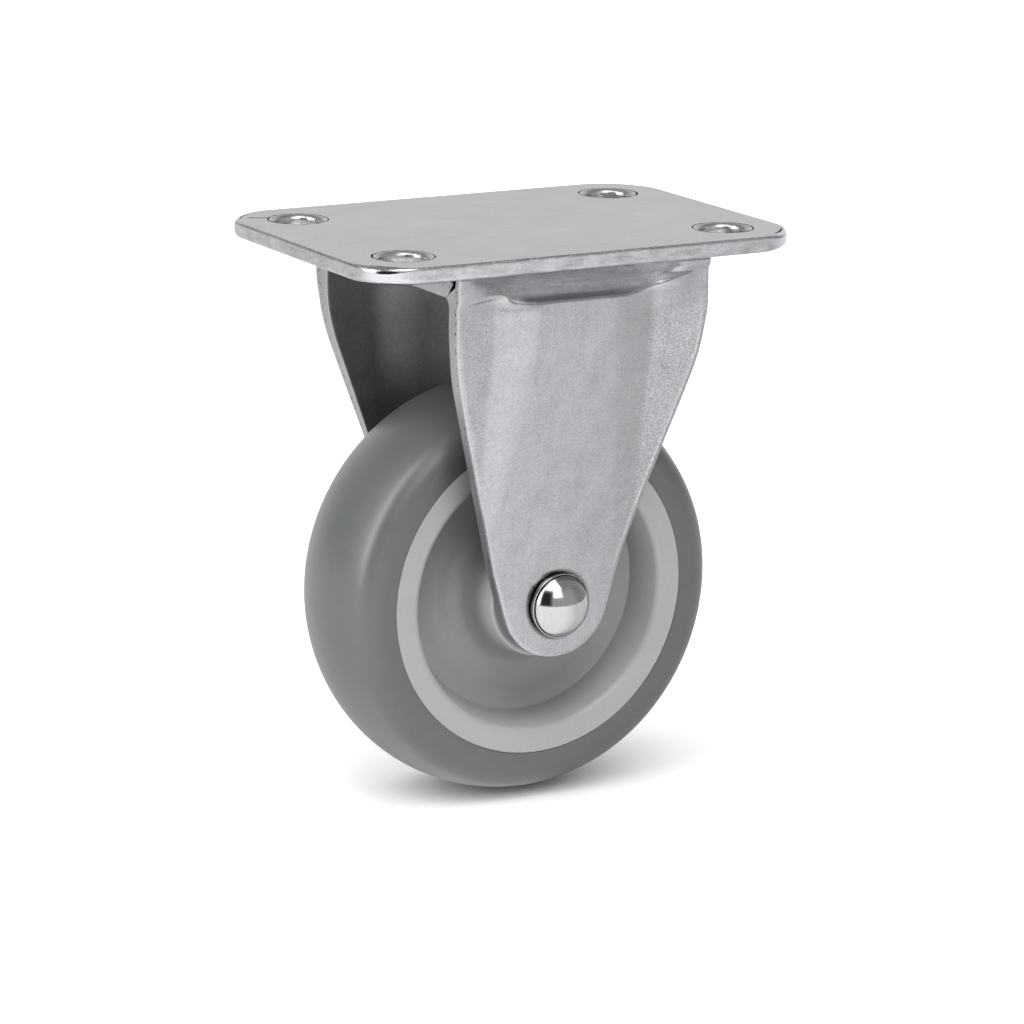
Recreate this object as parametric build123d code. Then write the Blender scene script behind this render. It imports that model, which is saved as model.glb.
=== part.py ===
"""Rigid plate caster: a pressed steel fork under a four-hole plate, with a soft-tread wheel on a riveted axle.

Millimetres. The origin is the centre of the plate's top face, where the caster is bolted up.
+Z is up, X is the rolling direction and Y is the axle's direction. The domed rivet head is on the -Y side.
"""
import os
from math import atan2, radians, sqrt, tan

from build123d import *

# Top plate
PLATE_LENGTH = 85.2
PLATE_WIDTH = 60.9
PLATE_THICKNESS = 2.9
PLATE_CORNER_RADIUS = 10.0
PLATE_TOP_EDGE = 0.25
PLATE_ROLLED_EDGE = 0.8
HOLE_SPACING_X = 63.2
HOLE_SPACING_Y = 39.4
HOLE_RADIUS = 4.3
HOLE_RIM = 0.65

# Axle, as seen from the plate's top face
AXLE_DROP = 64.6

# Fork, one pressed sheet
SHEET = 3.0
FORK_WIDTH = 49.0
WEB_GAP = 1.5
PAD_RADIUS = 17.0
PAD_DRAFT = 1.5
WELD_SPOTS = 4
WELD_CIRCLE_RADIUS = 11.0
WELD_SPOT_RADIUS = 2.2
WELD_SPOT_DEPTH = 0.5
LEG_INSIDE_TOP = 22.6
LEG_INSIDE_AXLE = 15.8
INNER_CORNER_RADIUS = 1.6
LEG_BEND_HEIGHT = 47.8
LEG_BEND_RADIUS = 40.0
SEAT_BEND_HEIGHT = 8.3
SEAT_BEND_RADIUS = 12.0
KNEE_HEIGHT = 46.2
KNEE_RADIUS = 45.0
TOE_RADIUS = 10.7
TOE_LIFT = 0.9
EDGE_ROLL = 0.7
EDGE_MATCH = 0.2

# Bead pressed out along the top of each leg
BEAD_OUT = 1.3
BEAD_HEIGHT = 3.8
BEAD_FOOT_RADIUS = 1.6
BEAD_RISE = 3.8
BEAD_CREST_RADIUS = 1.2
BEAD_LIP = 0.9
BEAD_LIP_RADIUS = 0.8
BEAD_TOP_SETBACK = 0.7
NOTCH_DEPTH = 0.9
NOTCH_MOUTH = 0.3
NOTCH_FLOOR = 1.0
NOTCH_END = 2.2
NOTCH_RADIUS = 0.3

# Raised panel down the middle of each leg
PANEL_MARGIN = 8.5
PANEL_HEIGHT = 2.2
PANEL_SHELF_DROP = 5.5
PANEL_FLANK_ANGLE = 22.0
PANEL_SHOULDER_RADIUS = 12.0
PANEL_BROW = 1.0
PANEL_FADE_HEIGHT = 8.8
PANEL_ROOT = 2.3
PANEL_TAIL = 4.0
PANEL_STATIONS = 12

# Wheel
WHEEL_RADIUS = 37.5
CROWN_RADIUS = 24.0
SHOULDER_RADIUS = 4.0
TREAD_SWELL = 0.2
RIM_HALF_WIDTH = 12.6
TREAD_DEPTH = 8.8
RING_WIDTH = 4.3
RING_EDGE = 0.9
LOCK_RIB_HEIGHT = 1.8
LOCK_RIB_HALF_WIDTH = 5.0
WALL_DRAFT = 2.1
WALL_FOOT_DEPTH = 6.6
WEB_HALF_THICKNESS = 4.6
DISH_SLOPE = 4.3
DISH_INNER_FILLET = 4.0
DISH_OUTER_FILLET = 8.0
BOSS_RADIUS = 10.6
BOSS_ROOT_RADIUS = 11.4
BOSS_HALF_LENGTH = 14.0
BOSS_EDGE = 0.6
BORE_RELIEF = 0.5

# Axle parts
SHANK_RADIUS = 4.0
SLEEVE_RADIUS = 6.0
SLEEVE_FIT = 0.05
RIVET_FIT = 0.05
BUSH_WALL = 1.4
BUSH_LENGTH = 9.0
BUSH_FLANGE_RADIUS = 8.6
BUSH_FLANGE = 0.8
SIDE_PLAY = 0.1
WASHER_RADIUS = 9.0
WASHER_FIT = 0.2
HEAD_RADIUS = 5.75
HEAD_FOOT = 0.25
HEAD_FOOT_SETBACK = 0.4
HEAD_BAND = 1.1
HEAD_STEP = 0.15
HEAD_DOME = 3.4
TAIL_RADIUS = 5.6
TAIL_HEIGHT = 1.9
TAIL_CROWN_RADIUS = 4.6
TAIL_DIMPLE_RADIUS = 1.6
TAIL_DIMPLE_DEPTH = 0.7

PLATE_UNDERSIDE = -PLATE_THICKNESS
WEB_TOP = PLATE_UNDERSIDE - WEB_GAP
WEB_UNDERSIDE = WEB_TOP - SHEET
AXLE_Z = -AXLE_DROP
LEG_OUTSIDE_TOP = LEG_INSIDE_TOP + SHEET
LEG_OUTSIDE_AXLE = LEG_INSIDE_AXLE + SHEET
LEG_BEND_Z = AXLE_Z + LEG_BEND_HEIGHT
SEAT_BEND_Z = AXLE_Z + SEAT_BEND_HEIGHT
LEG_SLOPE = (LEG_INSIDE_TOP - LEG_INSIDE_AXLE) / (LEG_BEND_HEIGHT - SEAT_BEND_HEIGHT)
TOE_Z = AXLE_Z + TOE_LIFT
SHELF_Z = PLATE_UNDERSIDE - PANEL_SHELF_DROP
FADE_Z = AXLE_Z + PANEL_FADE_HEIGHT
BEAD_BOTTOM = WEB_TOP - BEAD_HEIGHT
PANEL_HALF_WIDTH = FORK_WIDTH / 2 - PANEL_MARGIN
RING_OUTER_RADIUS = WHEEL_RADIUS - TREAD_DEPTH
RING_INNER_RADIUS = RING_OUTER_RADIUS - RING_WIDTH
WALL_FOOT_RADIUS = RING_INNER_RADIUS - WALL_DRAFT
DISH_FLOOR_RADIUS = WALL_FOOT_RADIUS - DISH_SLOPE
AXLE = Location((0, 0, AXLE_Z))
ACROSS = AXLE * Rot(90, 0, 0)
STANDING = (Align.CENTER, Align.CENTER, Align.MIN)


def mirrored(shape):
    """The same shape on the other side of the wheel."""
    return mirror(shape, about=Plane.XZ)


def top_plate():
    outline = RectangleRounded(PLATE_LENGTH, PLATE_WIDTH, PLATE_CORNER_RADIUS)
    plate = extrude(outline, -PLATE_THICKNESS)
    holes = GridLocations(HOLE_SPACING_X, HOLE_SPACING_Y, 2, 2) * Circle(HOLE_RADIUS)
    plate -= extrude(Sketch() + holes, -PLATE_THICKNESS)
    rims = plate.edges().filter_by(GeomType.CIRCLE).filter_by(
        lambda edge: abs(edge.radius - HOLE_RADIUS) < EDGE_MATCH).group_by(Axis.Z)[-1]
    plate = fillet(rims, HOLE_RIM)
    low = plate.faces().sort_by(Axis.Z)[0].outer_wire().edges()
    plate = fillet(low, PLATE_ROLLED_EDGE)
    high = plate.faces().sort_by(Axis.Z)[-1].outer_wire().edges()
    return chamfer(high, PLATE_TOP_EDGE)


def rounded_face(corners):
    """A flat face from corners given as (x, y, radius), with radius 0 for a sharp one."""
    face = make_face(Polyline([(x, y) for x, y, _ in corners], close=True))
    for x, y, radius in corners:
        if radius:
            corner = face.vertices().sort_by_distance((x, y, 0))[0]
            face = fillet(corner, radius)
    return face


def leg_section():
    """Half of the fork's section across the axle: web, corner bead, leaning leg and upright seat."""
    toe = TOE_Z - TOE_RADIUS
    bead_out = LEG_OUTSIDE_TOP + BEAD_OUT
    return rounded_face([
        (0, WEB_UNDERSIDE, 0),
        (LEG_INSIDE_TOP, WEB_UNDERSIDE, INNER_CORNER_RADIUS),
        (LEG_INSIDE_TOP, LEG_BEND_Z, LEG_BEND_RADIUS),
        (LEG_INSIDE_AXLE, SEAT_BEND_Z, SEAT_BEND_RADIUS),
        (LEG_INSIDE_AXLE, toe, 0),
        (LEG_OUTSIDE_AXLE, toe, 0),
        (LEG_OUTSIDE_AXLE, SEAT_BEND_Z, SEAT_BEND_RADIUS),
        (LEG_OUTSIDE_TOP, LEG_BEND_Z, LEG_BEND_RADIUS),
        (LEG_OUTSIDE_TOP, BEAD_BOTTOM, BEAD_FOOT_RADIUS),
        (bead_out, BEAD_BOTTOM + BEAD_RISE, BEAD_CREST_RADIUS),
        (bead_out, PLATE_UNDERSIDE - BEAD_LIP, BEAD_LIP_RADIUS),
        (bead_out - BEAD_TOP_SETBACK, PLATE_UNDERSIDE, NOTCH_RADIUS),
        (LEG_OUTSIDE_TOP - NOTCH_MOUTH, PLATE_UNDERSIDE, NOTCH_RADIUS),
        (LEG_OUTSIDE_TOP - NOTCH_FLOOR, WEB_TOP - NOTCH_DEPTH, NOTCH_RADIUS),
        (LEG_OUTSIDE_TOP - NOTCH_END, WEB_TOP, NOTCH_RADIUS),
        (0, WEB_TOP, 0)])


def leg_outline():
    """The leg seen along the axle: upright sides, a soft knee, a taper and a round toe."""
    knee_z = AXLE_Z + KNEE_HEIGHT
    toe = Pos(0, TOE_Z) * Circle(TOE_RADIUS)
    body = Pos(0, knee_z / 2) * Rectangle(FORK_WIDTH, -knee_z)
    outline = make_hull(toe.edges() + body.edges())
    for side in (-1, 1):
        knee = outline.vertices().sort_by_distance((side * FORK_WIDTH / 2, knee_z, 0))[0]
        outline = fillet(knee, KNEE_RADIUS)
    return outline


def leaning(z, top, slope):
    """Distance from the middle plane at height z of a line that leans in from top by slope, bend included."""
    reach = LEG_BEND_RADIUS * tan(atan2(slope, 1) / 2)
    below = LEG_BEND_Z + reach - z
    if below <= 0:
        return top
    if below < 2 * reach:
        return top - LEG_BEND_RADIUS + sqrt(LEG_BEND_RADIUS ** 2 - below ** 2)
    return top - slope * (LEG_BEND_Z - z)


def margin(z):
    """Distance from the middle plane to the outside of a leg's flat margins at height z."""
    return max(leaning(z, LEG_OUTSIDE_TOP, LEG_SLOPE), LEG_OUTSIDE_AXLE)


def panel_face(z):
    """Distance from the middle plane to the raised panel at height z."""
    top = LEG_OUTSIDE_TOP + PANEL_HEIGHT
    slope = (top - margin(FADE_Z)) / (LEG_BEND_Z - FADE_Z)
    return leaning(z, top, slope)


def panel_section(z, inset):
    """The panel's section at height z, moved in by inset, with its flanks carried down below the margins."""
    slope = tan(radians(PANEL_FLANK_ANGLE))
    foot = PANEL_HALF_WIDTH + PANEL_ROOT / slope
    brow = PANEL_HALF_WIDTH - (panel_face(z) - margin(z)) / slope
    bottom = inset - margin(z) + PANEL_ROOT
    top = inset - panel_face(z)
    outline = FilletPolyline(
        (-foot, bottom), (-brow, top), (brow, top), (foot, bottom),
        radius=[0, PANEL_SHOULDER_RADIUS, PANEL_SHOULDER_RADIUS, 0], close=True)
    return Pos(0, 0, z) * make_face(outline)


def panel(inset, top):
    """The pressed panel as a solid: its outer form, or with the sheet as inset, the hollow behind it."""
    bottom = FADE_Z - PANEL_TAIL
    step = (top - bottom) / PANEL_STATIONS
    return loft([panel_section(top - step * count, inset) for count in range(PANEL_STATIONS + 1)])


def rolled_edges(body, outline):
    """The edges round the outside of both legs, which the punch rolled over."""
    rim = (Plane.XZ * outline).faces()[0].outer_wire()
    picked = ShapeList()
    for edge in body.edges():
        middle = edge.position_at(0.5)
        on_rim = rim.distance_to(Vertex(middle.X, 0, middle.Z)) < EDGE_MATCH
        outside = abs(middle.Y) > margin(middle.Z) - EDGE_MATCH
        if on_rim and outside and middle.Z < WEB_TOP:
            picked.append(edge)
    return picked


def fork():
    half = leg_section()
    section = half + mirror(half, about=Plane.YZ)
    body = extrude(Plane.YZ * section, FORK_WIDTH / 2, both=True)
    raised = panel(0, SHELF_Z)
    raised = fillet(raised.faces().sort_by(Axis.Z)[-1].edges().sort_by(Axis.Y)[:-1], PANEL_BROW)
    hollow = panel(SHEET, SHELF_Z - SHEET)
    body = body + raised + mirrored(raised) - hollow - mirrored(hollow)
    outline = leg_outline()
    body &= extrude(Plane.XZ * outline, PLATE_WIDTH, both=True)
    body = fillet(rolled_edges(body, outline), EDGE_ROLL)
    pad_foot = PAD_RADIUS + PAD_DRAFT
    pocket_top = PAD_RADIUS - PAD_DRAFT
    body += Pos(0, 0, WEB_TOP) * Cone(pad_foot, PAD_RADIUS, WEB_GAP, align=STANDING)
    body -= Pos(0, 0, WEB_UNDERSIDE) * Cone(PAD_RADIUS, pocket_top, WEB_GAP, align=STANDING)
    spots = PolarLocations(WELD_CIRCLE_RADIUS, WELD_SPOTS, start_angle=45) * Circle(WELD_SPOT_RADIUS)
    body -= Pos(0, 0, WEB_UNDERSIDE + WEB_GAP) * extrude(Sketch() + spots, WELD_SPOT_DEPTH)
    return body - ACROSS * Cylinder(SHANK_RADIUS + RIVET_FIT, 2 * PLATE_WIDTH)


def lathe(outline):
    """A solid turned about the axle from a flat face drawn as (distance along the axle, radius)."""
    return AXLE * Rot(0, 0, 90) * revolve(outline, Axis.X, 360)


def lathe_ring(inner, outer, start, end):
    """A plain ring on the axle between two radii, from start to end along it."""
    return lathe(make_face(Polyline((start, inner), (end, inner), (end, outer), (start, outer), close=True)))


def axle_rivet():
    """A shank with a banded dome head on the -Y side and a dimpled, peened tail on the other."""
    seat = LEG_OUTSIDE_AXLE
    foot_radius = HEAD_RADIUS - HEAD_FOOT_SETBACK
    band_start = -seat - HEAD_FOOT
    band_end = band_start - HEAD_BAND
    dome_foot = HEAD_RADIUS - HEAD_STEP
    dome_radius = (dome_foot ** 2 + HEAD_DOME ** 2) / (2 * HEAD_DOME)
    crest = band_end - HEAD_DOME
    tail_end = seat + TAIL_HEIGHT
    profile = [
        RadiusArc((crest, 0), (band_end, dome_foot), dome_radius),
        Polyline((band_end, dome_foot), (band_end, HEAD_RADIUS), (band_start, HEAD_RADIUS),
                 (band_start, foot_radius), (-seat, foot_radius), (-seat, SHANK_RADIUS),
                 (seat, SHANK_RADIUS), (seat, TAIL_RADIUS)),
        RadiusArc((seat, TAIL_RADIUS), (tail_end, TAIL_DIMPLE_RADIUS), TAIL_CROWN_RADIUS),
        Polyline((tail_end, TAIL_DIMPLE_RADIUS), (tail_end - TAIL_DIMPLE_DEPTH, 0), (crest, 0))]
    return lathe(make_face(profile))


def axle_sleeve():
    """The steel tube that the rivet clamps between the legs, and that the wheel turns on."""
    return lathe_ring(SHANK_RADIUS + RIVET_FIT, SLEEVE_RADIUS, -LEG_INSIDE_AXLE, LEG_INSIDE_AXLE)


def bush():
    """A flanged plain bearing pressed into the +Y end of the hub."""
    bore = SLEEVE_RADIUS + SLEEVE_FIT
    outer = bore + BUSH_WALL
    end = BOSS_HALF_LENGTH + BUSH_FLANGE
    start = BOSS_HALF_LENGTH - BUSH_LENGTH
    return lathe(make_face(Polyline(
        (start, bore), (end, bore), (end, BUSH_FLANGE_RADIUS), (BOSS_HALF_LENGTH, BUSH_FLANGE_RADIUS),
        (BOSS_HALF_LENGTH, outer), (start, outer), close=True)))


def side_washer():
    """The washer between the bush flange and the +Y leg."""
    start = BOSS_HALF_LENGTH + BUSH_FLANGE + SIDE_PLAY
    return lathe_ring(SLEEVE_RADIUS + WASHER_FIT, WASHER_RADIUS, start, LEG_INSIDE_AXLE)


def hub_core():
    """The moulded hub: boss, dished web, flat ring, and the rim that the tread is moulded round."""
    bore = SLEEVE_RADIUS + SLEEVE_FIT
    bush_seat = bore + BUSH_WALL
    foot = RIM_HALF_WIDTH - WALL_FOOT_DEPTH
    half = rounded_face([
        (0, bore + BORE_RELIEF, 0),
        (BOSS_HALF_LENGTH - BUSH_LENGTH, bore + BORE_RELIEF, 0),
        (BOSS_HALF_LENGTH - BUSH_LENGTH, bush_seat, 0),
        (BOSS_HALF_LENGTH, bush_seat, 0),
        (BOSS_HALF_LENGTH, BOSS_RADIUS, BOSS_EDGE),
        (WEB_HALF_THICKNESS, BOSS_ROOT_RADIUS, DISH_INNER_FILLET),
        (WEB_HALF_THICKNESS, DISH_FLOOR_RADIUS, DISH_OUTER_FILLET),
        (foot, WALL_FOOT_RADIUS, 0),
        (RIM_HALF_WIDTH, RING_INNER_RADIUS, RING_EDGE),
        (RIM_HALF_WIDTH, RING_OUTER_RADIUS, 0),
        (LOCK_RIB_HALF_WIDTH, RING_OUTER_RADIUS, 0),
        (LOCK_RIB_HALF_WIDTH, RING_OUTER_RADIUS + LOCK_RIB_HEIGHT, 0),
        (0, RING_OUTER_RADIUS + LOCK_RIB_HEIGHT, 0)])
    return lathe(half + mirror(half, about=Plane.YZ))


def tread():
    """The soft tread: crowned, with big shoulders, locked over the rim's rib."""
    crown_centre = WHEEL_RADIUS - CROWN_RADIUS
    side = RIM_HALF_WIDTH + TREAD_SWELL
    corner = crown_centre + sqrt(CROWN_RADIUS ** 2 - side ** 2)
    rib_top = RING_OUTER_RADIUS + LOCK_RIB_HEIGHT
    outline = make_face([
        Polyline((side, corner), (RIM_HALF_WIDTH, RING_OUTER_RADIUS), (LOCK_RIB_HALF_WIDTH, RING_OUTER_RADIUS),
                 (LOCK_RIB_HALF_WIDTH, rib_top), (-LOCK_RIB_HALF_WIDTH, rib_top),
                 (-LOCK_RIB_HALF_WIDTH, RING_OUTER_RADIUS), (-RIM_HALF_WIDTH, RING_OUTER_RADIUS),
                 (-side, corner)),
        ThreePointArc((-side, corner), (0, WHEEL_RADIUS), (side, corner))])
    for end in (-side, side):
        shoulder = outline.vertices().sort_by_distance((end, corner, 0))[0]
        outline = fillet(shoulder, SHOULDER_RADIUS)
    return lathe(outline)


back_bush = bush()
back_washer = side_washer()
NODES = {
    "top_plate": top_plate(),
    "fork": fork(),
    "axle_rivet": axle_rivet(),
    "axle_sleeve": axle_sleeve(),
    "washer_front": mirrored(back_washer),
    "washer_back": back_washer,
    "hub_core": hub_core(),
    "tread": tread(),
    "bush_front": mirrored(back_bush),
    "bush_back": back_bush,
}

os.makedirs("parts", exist_ok=True)
for name, shape in NODES.items():
    export_step(shape, f"parts/{name}.step")
    print(name, round(shape.volume, 1), "mm3")
print("height", round(AXLE_DROP + WHEEL_RADIUS, 1), "mm")
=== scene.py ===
# %% [markdown]
# A rigid caster is a wheel in a pressed steel fork under a bolt-on plate. The measured solids are loaded
# first and fix every size and place. The rest is finish: what a press, a plating bath or a mould leaves.

# %% Load the measured caster
import math

import bmesh
import bpy
import numpy as np
from mathutils import Matrix, Vector


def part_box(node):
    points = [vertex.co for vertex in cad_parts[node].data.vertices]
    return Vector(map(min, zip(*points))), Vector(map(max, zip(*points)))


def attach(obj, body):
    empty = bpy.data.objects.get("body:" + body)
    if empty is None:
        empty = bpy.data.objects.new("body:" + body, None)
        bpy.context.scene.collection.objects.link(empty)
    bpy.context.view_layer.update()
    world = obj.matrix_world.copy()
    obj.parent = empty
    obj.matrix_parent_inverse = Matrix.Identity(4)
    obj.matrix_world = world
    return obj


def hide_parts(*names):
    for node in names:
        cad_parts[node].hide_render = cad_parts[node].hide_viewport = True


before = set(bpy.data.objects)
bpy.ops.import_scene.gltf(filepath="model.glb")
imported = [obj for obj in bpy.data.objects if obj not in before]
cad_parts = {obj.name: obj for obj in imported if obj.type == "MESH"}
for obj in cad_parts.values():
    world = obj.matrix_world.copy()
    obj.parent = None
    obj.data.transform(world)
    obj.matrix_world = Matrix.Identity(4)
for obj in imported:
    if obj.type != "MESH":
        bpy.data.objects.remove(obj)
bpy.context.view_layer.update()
MM = 0.001
print("nodes", sorted(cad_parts))

# %% [markdown]
# The photo was taken from the front left and a little above, with a long lens that hardly tapers the plate.
# The camera stands on that line of sight, and its offsets to the side and upwards frame the caster as there.

# %% Camera
VIEW_AZIMUTH = math.radians(-29.63)
VIEW_ELEVATION = math.radians(13.99)
VIEW_ROLL = math.radians(0.76)
VIEW_DISTANCE = 743.0 * MM
VIEW_RIGHT = 0.34 * MM
VIEW_UP = -50.6 * MM
LENS = 149.04

facing = Matrix.Rotation(VIEW_AZIMUTH, 4, "Z") @ Matrix.Rotation(math.pi / 2 - VIEW_ELEVATION, 4, "X")
facing = facing @ Matrix.Rotation(VIEW_ROLL, 4, "Z")

camera_data = bpy.data.cameras.new("camera")
camera_data.lens = LENS
camera_data.sensor_width = 36
camera_data.clip_end = 20
camera = bpy.data.objects.new("camera", camera_data)
camera.matrix_world = facing @ Matrix.Translation((VIEW_RIGHT, VIEW_UP, VIEW_DISTANCE))
bpy.context.scene.collection.objects.link(camera)
bpy.context.scene.camera = camera
bpy.context.scene.view_settings.view_transform = "Standard"
print("camera at", [round(value, 3) for value in camera.location])


# %% [markdown]
# Every finish below is a small tree of shader nodes. A few helpers keep such trees readable: they put in a
# node and plug it, do sums, mix two numbers, and stretch a number between two limits.

# %% Helpers for node trees
def fill(node, inputs):
    """Links each input whose value is a socket, and types in any other value."""
    for name, value in inputs.items():
        if isinstance(value, bpy.types.NodeSocket):
            node.id_data.links.new(value, node.inputs[name])
        else:
            node.inputs[name].default_value = value


def put(kind, inputs=None, tree=None, **settings):
    """Adds a node. Without a tree it goes into that of the sockets among its inputs."""
    inputs = inputs or {}
    if tree is None:
        tree = next(value.id_data for value in inputs.values() if isinstance(value, bpy.types.NodeSocket))
    node = tree.nodes.new(kind)
    for name, value in settings.items():
        setattr(node, name, value)
    fill(node, inputs)
    return node


def calc(operation, first, second=0.0, third=0.0):
    """One sum of a Math node."""
    return put("ShaderNodeMath", {0: first, 1: second, 2: third}, operation=operation).outputs[0]


def times(first, *others):
    """A product."""
    for other in others:
        first = calc("MULTIPLY", first, other)
    return first


def total(start, *patterns):
    """A start value plus patterns, each with its weight."""
    for pattern, weight in patterns:
        start = calc("MULTIPLY_ADD", pattern, weight, start)
    return start


def vector_calc(operation, first, second=(0, 0, 0)):
    """One sum with vectors."""
    node = put("ShaderNodeVectorMath", {0: first, 1: second}, operation=operation)
    return node.outputs["Value" if operation in ("LENGTH", "DOT_PRODUCT") else "Vector"]


def mix(amount, first, second):
    """Goes from the first number to the second as the amount goes from 0 to 1."""
    return put("ShaderNodeMix", {0: amount, 2: first, 3: second}, data_type="FLOAT").outputs[0]


def spread(value, low, high, to_low=0.0, to_high=1.0, smooth=False):
    """Stretches a value from one pair of limits to another, and stops it at them."""
    inputs = {"Value": value, "From Min": low, "From Max": high, "To Min": to_low, "To Max": to_high}
    kind = "SMOOTHSTEP" if smooth else "LINEAR"
    return put("ShaderNodeMapRange", inputs, interpolation_type=kind, clamp=True).outputs[0]


def grey(value, tint=(1.0, 1.0, 1.0)):
    """A linear grey with a slight tint, as a colour."""
    return (value * tint[0], value * tint[1], value * tint[2], 1.0)


# %% [markdown]
# The studio is a white tent: white to the camera, and to shiny metal a soft room. What chrome shows is that
# room, so its walls change tone round the compass, and a few flat panels hang in it as in the photo: a large
# softbox high in front, a thin bright slit at the far left, and a dark gap between the two.

# %% Studio light
FLOOR_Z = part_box("tread")[0].z
CEILING_LIGHT = 0.36
SOFTBOX_LIGHT = 3.6
SLIT_LIGHT = 6.0
PANELS = (
    ("softbox", (-76, 8), (52, 82), 6, SOFTBOX_LIGHT),
    ("its lower half", (-30, 2), (30, 52), 6, SOFTBOX_LIGHT),
    ("slit", (-102, -76), (3, 58), 5, SLIT_LIGHT))
WALLS = ((-170, 0.8), (-150, 0.26), (-86, 0.26), (-66, 0.56), (40, 0.56), (62, 0.38), (95, 0.40),
         (122, 1.0), (180, 1.0))
WALL_TOP = (30, 60)
DARK_GAP = ((-75, -36), (-2, 46), 7)
GAP_DARKNESS = 0.95


def window(azimuth, elevation, across, upward, edge):
    """1 between two azimuths and two elevations in degrees, and 0 outside, fading over the edge."""
    inside = 1.0
    blur = math.radians(edge)
    for angle, (low, high) in ((azimuth, across), (elevation, upward)):
        middle, half = math.radians((low + high) / 2), math.radians((high - low) / 2)
        aside = calc("ABSOLUTE", calc("SUBTRACT", angle, middle))
        inside = times(inside, spread(aside, half - blur, half + blur, 1.0, 0.0, smooth=True))
    return inside


world = bpy.data.worlds.new("white tent")
bpy.context.scene.world = world
world.use_nodes = True
tent = world.node_tree
tent.nodes.clear()
direction = put("ShaderNodeTexCoord", tree=tent).outputs["Generated"]
sight = put("ShaderNodeSeparateXYZ", {0: direction}).outputs
azimuth = calc("ARCTAN2", sight["X"], times(sight["Y"], -1.0))
elevation = calc("ARCSINE", sight["Z"])
walls = put("ShaderNodeValToRGB", {0: calc("MULTIPLY_ADD", azimuth, 1 / math.tau, 0.5)})
stops = walls.color_ramp.elements
while len(stops) < len(WALLS):
    stops.new(0.5)
for stop, (degrees, light) in zip(stops, WALLS):
    stop.position = degrees / 360 + 0.5
    stop.color = (light, light, light, 1)
up_the_wall = spread(elevation, *map(math.radians, WALL_TOP), smooth=True)
room = mix(up_the_wall, walls.outputs[0], CEILING_LIGHT)
for name, across, upward, edge, amount in PANELS:
    room = total(room, (window(azimuth, elevation, across, upward, edge), amount))
gap = window(azimuth, elevation, *DARK_GAP)
room = times(room, total(1.0, (gap, -GAP_DARKNESS)))
seen = put("ShaderNodeLightPath", tree=tent).outputs["Is Camera Ray"]
level = mix(seen, room, 1.0)
background = put("ShaderNodeBackground", {"Color": (1, 1, 1, 1), "Strength": level})
put("ShaderNodeOutputWorld", {"Surface": background.outputs[0]})
print("studio panels", [panel[0] for panel in PANELS])

# %% [markdown]
# The floor is a plain pale sheet. To the camera it also glows a little, so that it runs out to white, and
# the glow dies in the crevice under the wheel, so a soft contact shadow stays. To shiny metal the sheet is
# brighter on the side of the softbox, and that slow change draws the relief of the pressed panel.

# %% Floor
FLOOR_SIZE = 6.0
FLOOR_ALBEDO = 0.80
FLOOR_GLOW = 0.60
CREVICE_REACH = 0.055
CREVICE_POWER = 1.2
BRIGHT_SIDE = (-0.6, -0.8, 0.0)
BRIGHT_SPAN = (0.1, 0.85)
METAL_GLOW = (0.10, 0.66)

sheet = bpy.data.meshes.new("floor")
corner = FLOOR_SIZE / 2
sheet.from_pydata([(x * corner, y * corner, FLOOR_Z) for x, y in ((-1, -1), (1, -1), (1, 1), (-1, 1))],
                  [], [(0, 1, 2, 3)])
floor = bpy.data.objects.new("floor", sheet)
bpy.context.scene.collection.objects.link(floor)
paper = bpy.data.materials.new("white paper")
paper.use_nodes = True
tree = paper.node_tree
tree.nodes.clear()
diffuse = put("ShaderNodeBsdfDiffuse", {"Color": grey(FLOOR_ALBEDO)}, tree).outputs[0]
rays = put("ShaderNodeLightPath", tree=tree).outputs
place = put("ShaderNodeTexCoord", tree=tree).outputs["Object"]
flat = vector_calc("MULTIPLY", place, (1, 1, 0))
aside = vector_calc("DOT_PRODUCT", vector_calc("NORMALIZE", flat), BRIGHT_SIDE)
sheen = spread(aside, *BRIGHT_SPAN, *METAL_GLOW, smooth=True)
crevice = put("ShaderNodeAmbientOcclusion", {"Distance": CREVICE_REACH}, tree, samples=5).outputs["AO"]
white = times(calc("POWER", crevice, CREVICE_POWER), FLOOR_GLOW)
strength = total(0.0, (rays["Is Camera Ray"], white), (rays["Is Glossy Ray"], sheen))
glow = put("ShaderNodeEmission", {"Strength": strength}).outputs[0]
both = put("ShaderNodeAddShader", {0: diffuse, 1: glow}).outputs[0]
put("ShaderNodeOutputMaterial", {"Surface": both})
sheet.materials.append(paper)


# %% [markdown]
# Bare zinc plating is never one flat grey. The rolled sheet leaves grain, the bath leaves cloudy patches,
# and handling leaves rubbed streaks. Each of them changes the tone, the shine and the surface a little. All
# read the part's own coordinates in metres, so a scale of 1500 means 1500 waves a metre, or one each 0.7 mm.

# %% Building blocks of a finish
def noise(place, scale, detail=2, roughness=0.55, stretch=None, turn=(0, 0, 0)):
    """Noise with its scale in waves a metre. Stretch squeezes the pattern along each axis."""
    if stretch:
        inputs = {"Vector": place, "Scale": stretch, "Rotation": turn}
        place = put("ShaderNodeMapping", inputs).outputs[0]
    inputs = {"Vector": place, "Scale": scale, "Detail": detail, "Roughness": roughness}
    return put("ShaderNodeTexNoise", inputs).outputs["Fac"]


def relief(*patterns):
    """Raises the surface by patterns that go from 0 to 1, each with its height in millimetres."""
    height = total(0.0, *patterns)
    return put("ShaderNodeBump", {"Height": height, "Distance": MM}).outputs[0]


def tone(*patterns):
    """Sums patterns that sway around a half, each with its weight, into a factor around 1."""
    return total(1.0 - 0.5 * sum(weight for _, weight in patterns), *patterns)


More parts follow.
